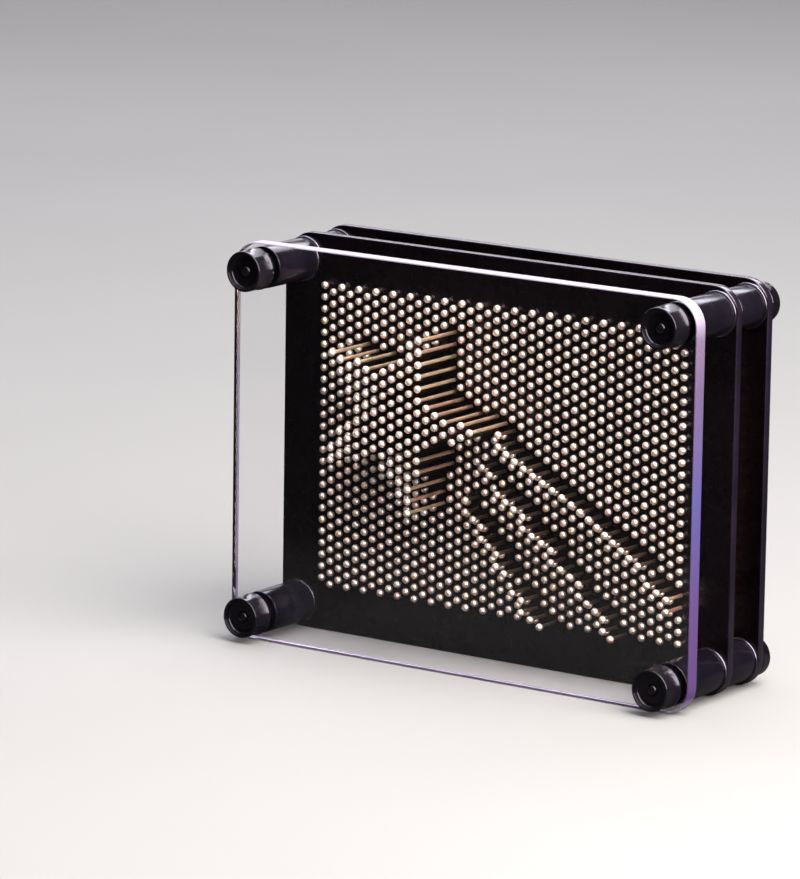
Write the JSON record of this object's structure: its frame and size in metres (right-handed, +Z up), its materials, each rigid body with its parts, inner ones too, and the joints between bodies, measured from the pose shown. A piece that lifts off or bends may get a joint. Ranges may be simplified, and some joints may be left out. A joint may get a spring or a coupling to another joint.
{
  "type": "pin impression toy",
  "caption": "Upright frame of a clear window and two perforated plates on corner posts, holding a bed of sliding pins that keep the shape pressed into them.",
  "frame": {"origin": "bottom centre of the whole toy, on the surface that the window and the plates stand on, with the tails of the pins counted in its depth", "axes": "+X to the right of a viewer who faces the window, +Y from the window towards the tails of the pins, +Z up"},
  "size_m": [0.128, 0.056, 0.0953],
  "materials": {
    "clear_acrylic": "polished clear acrylic with a faint violet edge",
    "guide_plate_plastic": "glossy black plastic",
    "cap_plastic": "satin black moulded plastic",
    "spacer_plastic": "glossy black plastic",
    "rod_steel": "plain drawn steel",
    "washer_metal": "bright plated",
    "pin_metal": "bright plated pins with a warm cast"
  },
  "bodies": {
    "frame": {"clear_window": "clear_acrylic", "front_guide_plate": "guide_plate_plastic", "rear_guide_plate": "guide_plate_plastic", "front_cap_top_left": "cap_plastic", "front_cap_top_right": "cap_plastic", "front_cap_bottom_left": "cap_plastic", "front_cap_bottom_right": "cap_plastic", "rear_cap_top_left": "cap_plastic", "rear_cap_top_right": "cap_plastic", "rear_cap_bottom_left": "cap_plastic", "rear_cap_bottom_right": "cap_plastic", "front_spacer_top_left": "spacer_plastic", "front_spacer_top_right": "spacer_plastic", "front_spacer_bottom_left": "spacer_plastic", "front_spacer_bottom_right": "spacer_plastic", "rear_spacer_top_left": "spacer_plastic", "rear_spacer_top_right": "spacer_plastic", "rear_spacer_bottom_left": "spacer_plastic", "rear_spacer_bottom_right": "spacer_plastic", "tie_rod_top_left": "rod_steel", "tie_rod_top_right": "rod_steel", "tie_rod_bottom_left": "rod_steel", "tie_rod_bottom_right": "rod_steel", "front_washers": "washer_metal", "rear_washers": "washer_metal"},
    "star_pins": {"star_pins": "pin_metal"},
    "upper_trail_pins": {"upper_trail_pins": "pin_metal"},
    "middle_trail_pins": {"middle_trail_pins": "pin_metal"},
    "lower_trail_pins": {"lower_trail_pins": "pin_metal"},
    "field_pins_1": {"field_pins_1": "pin_metal"},
    "field_pins_2": {"field_pins_2": "pin_metal"},
    "field_pins_3": {"field_pins_3": "pin_metal"},
    "field_pins_4": {"field_pins_4": "pin_metal"},
    "field_pins_5": {"field_pins_5": "pin_metal"},
    "field_pins_6": {"field_pins_6": "pin_metal"},
    "field_pins_7": {"field_pins_7": "pin_metal"}
  },
  "joints": [
    {"name": "star_slide", "type": "slide", "parent": "frame", "child": "star_pins", "axis": [0, -1, 0], "range_m": [-0.0141, 0]},
    {"name": "upper_trail_slide", "type": "slide", "parent": "frame", "child": "upper_trail_pins", "axis": [0, -1, 0], "range_m": [-0.0045, 0.0078]},
    {"name": "middle_trail_slide", "type": "slide", "parent": "frame", "child": "middle_trail_pins", "axis": [0, -1, 0], "range_m": [-0.0045, 0.0078]},
    {"name": "lower_trail_slide", "type": "slide", "parent": "frame", "child": "lower_trail_pins", "axis": [0, -1, 0], "range_m": [-0.0045, 0.0078]},
    {"name": "field_1_slide", "type": "slide", "parent": "frame", "child": "field_pins_1", "axis": [0, -1, 0], "range_m": [0, 0.0141]},
    {"name": "field_2_slide", "type": "slide", "parent": "frame", "child": "field_pins_2", "axis": [0, -1, 0], "range_m": [0, 0.0141]},
    {"name": "field_3_slide", "type": "slide", "parent": "frame", "child": "field_pins_3", "axis": [0, -1, 0], "range_m": [0, 0.0141]},
    {"name": "field_4_slide", "type": "slide", "parent": "frame", "child": "field_pins_4", "axis": [0, -1, 0], "range_m": [0, 0.0141]},
    {"name": "field_5_slide", "type": "slide", "parent": "frame", "child": "field_pins_5", "axis": [0, -1, 0], "range_m": [0, 0.0141]},
    {"name": "field_6_slide", "type": "slide", "parent": "frame", "child": "field_pins_6", "axis": [0, -1, 0], "range_m": [0, 0.0141]},
    {"name": "field_7_slide", "type": "slide", "parent": "frame", "child": "field_pins_7", "axis": [0, -1, 0], "range_m": [0, 0.0141]}
  ]
}
